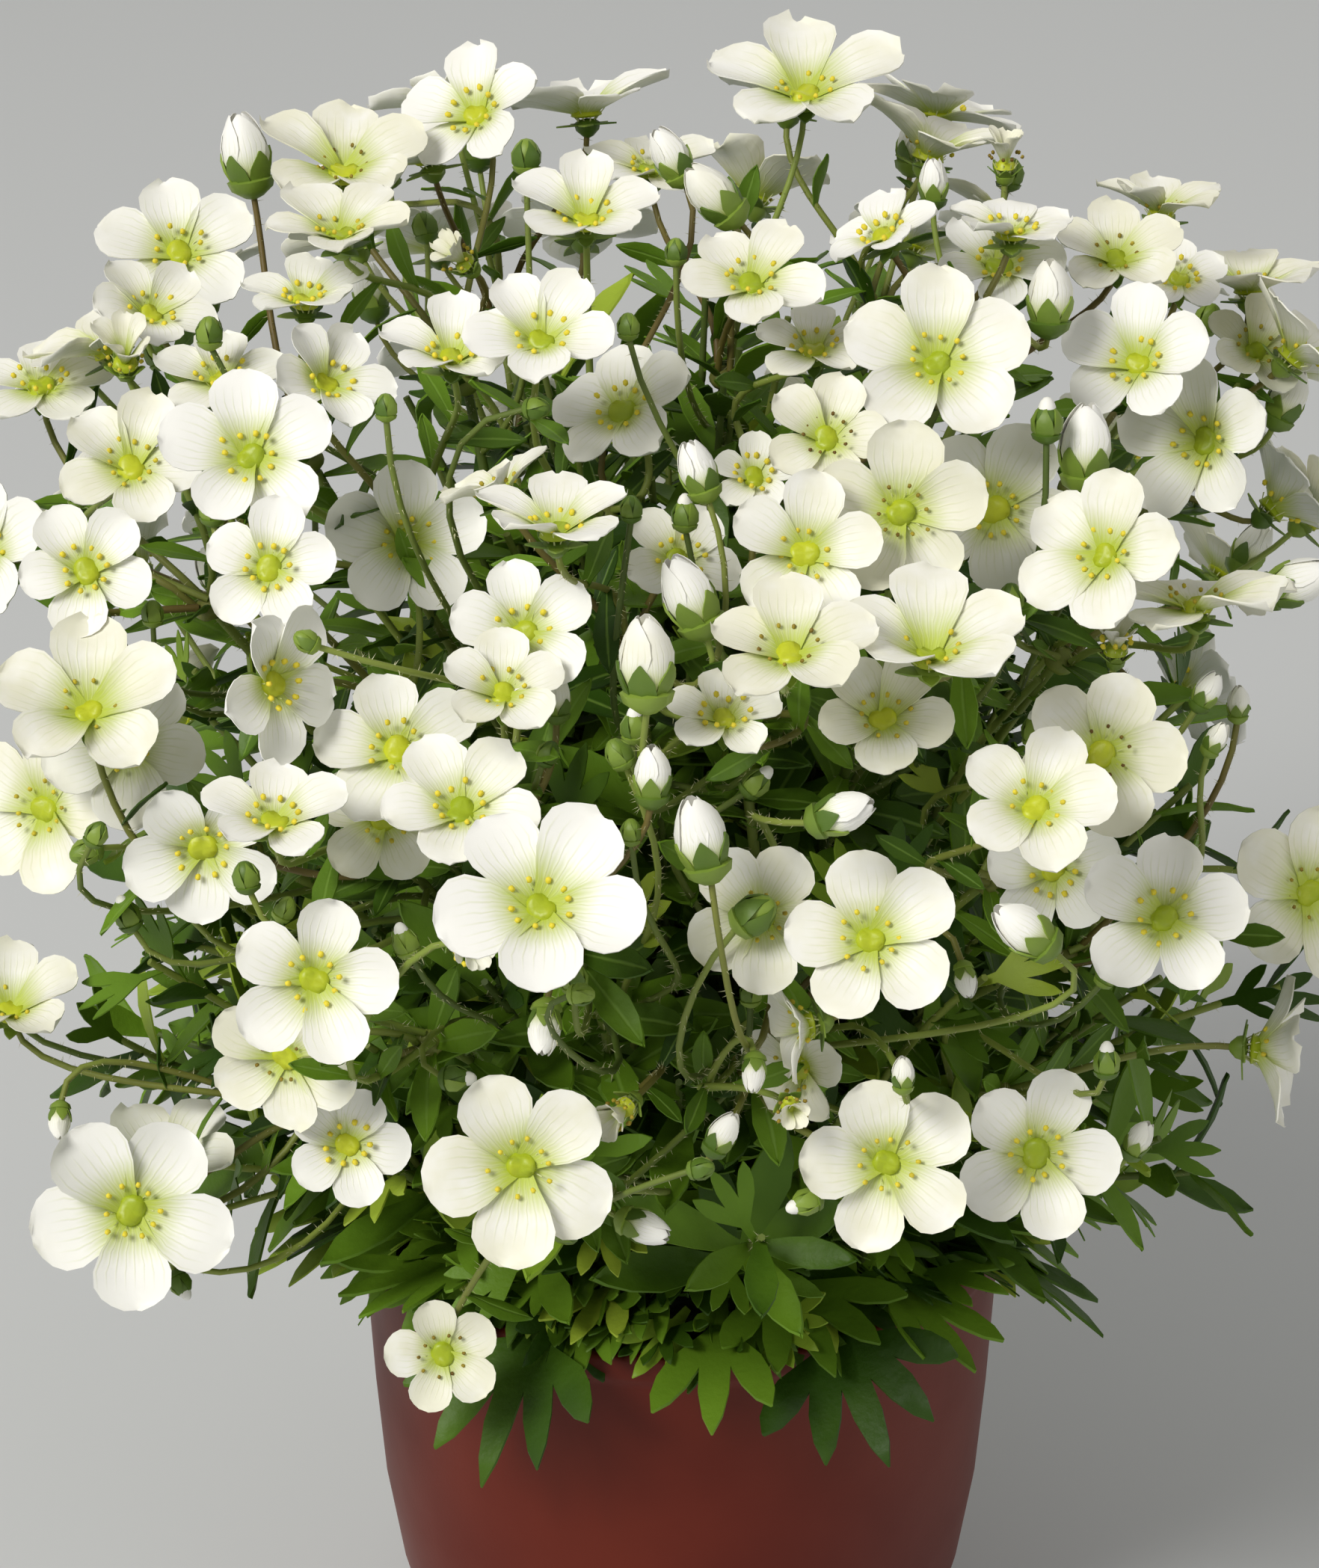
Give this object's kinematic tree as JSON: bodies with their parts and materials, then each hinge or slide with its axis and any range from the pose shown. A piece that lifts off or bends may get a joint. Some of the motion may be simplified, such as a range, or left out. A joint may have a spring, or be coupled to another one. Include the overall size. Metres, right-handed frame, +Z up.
{
  "type": "potted saxifrage",
  "caption": "Mossy saxifrage in flower: a ball of white five-petalled blooms on leafy stems over a cushion of lobed leaves in a terracotta-brown pot",
  "frame": {"origin": "middle of the pot's flat base, on the surface it stands on", "axes": "+Z up the pot's axis; -Y towards the viewer, the plant's front; +X to the viewer's right"},
  "size_m": [0.247, 0.2669, 0.2872],
  "materials": {
    "pot": "smooth satin, terracotta-brown",
    "soil": "rough dark brown peat",
    "leaves": "mid to dark green, slightly glossy, hairy margins",
    "stems": "olive and yellow-green, finely hairy",
    "petals": "soft warm white with faint greenish veins"
  },
  "bodies": {
    "root": {"cushion": "leaves", "head_01": "petals", "head_02": "petals", "head_03": "petals", "head_04": "petals", "head_05": "petals", "head_06": "petals", "head_07": "petals", "head_08": "petals", "head_09": "petals", "head_10": "petals", "head_11": "petals", "head_12": "petals", "head_13": "petals", "head_14": "petals", "head_15": "petals", "head_16": "petals", "head_17": "petals", "head_18": "petals", "head_19": "petals", "head_20": "petals", "head_21": "petals", "head_22": "petals", "head_23": "petals", "head_24": "petals", "head_25": "petals", "head_26": "petals", "head_27": "petals", "head_28": "petals", "head_29": "petals", "head_30": "petals", "head_31": "petals", "head_32": "petals", "head_33": "petals", "head_34": "petals", "head_35": "petals", "pot": "pot", "soil": "soil", "stem_01": "stems", "stem_02": "stems", "stem_03": "stems", "stem_04": "stems", "stem_05": "stems", "stem_06": "stems", "stem_07": "stems", "stem_08": "stems", "stem_09": "stems", "stem_10": "stems", "stem_11": "stems", "stem_12": "stems", "stem_13": "stems", "stem_14": "stems", "stem_15": "stems", "stem_16": "stems", "stem_17": "stems", "stem_18": "stems", "stem_19": "stems", "stem_20": "stems", "stem_21": "stems", "stem_22": "stems"}
  },
  "joints": []
}
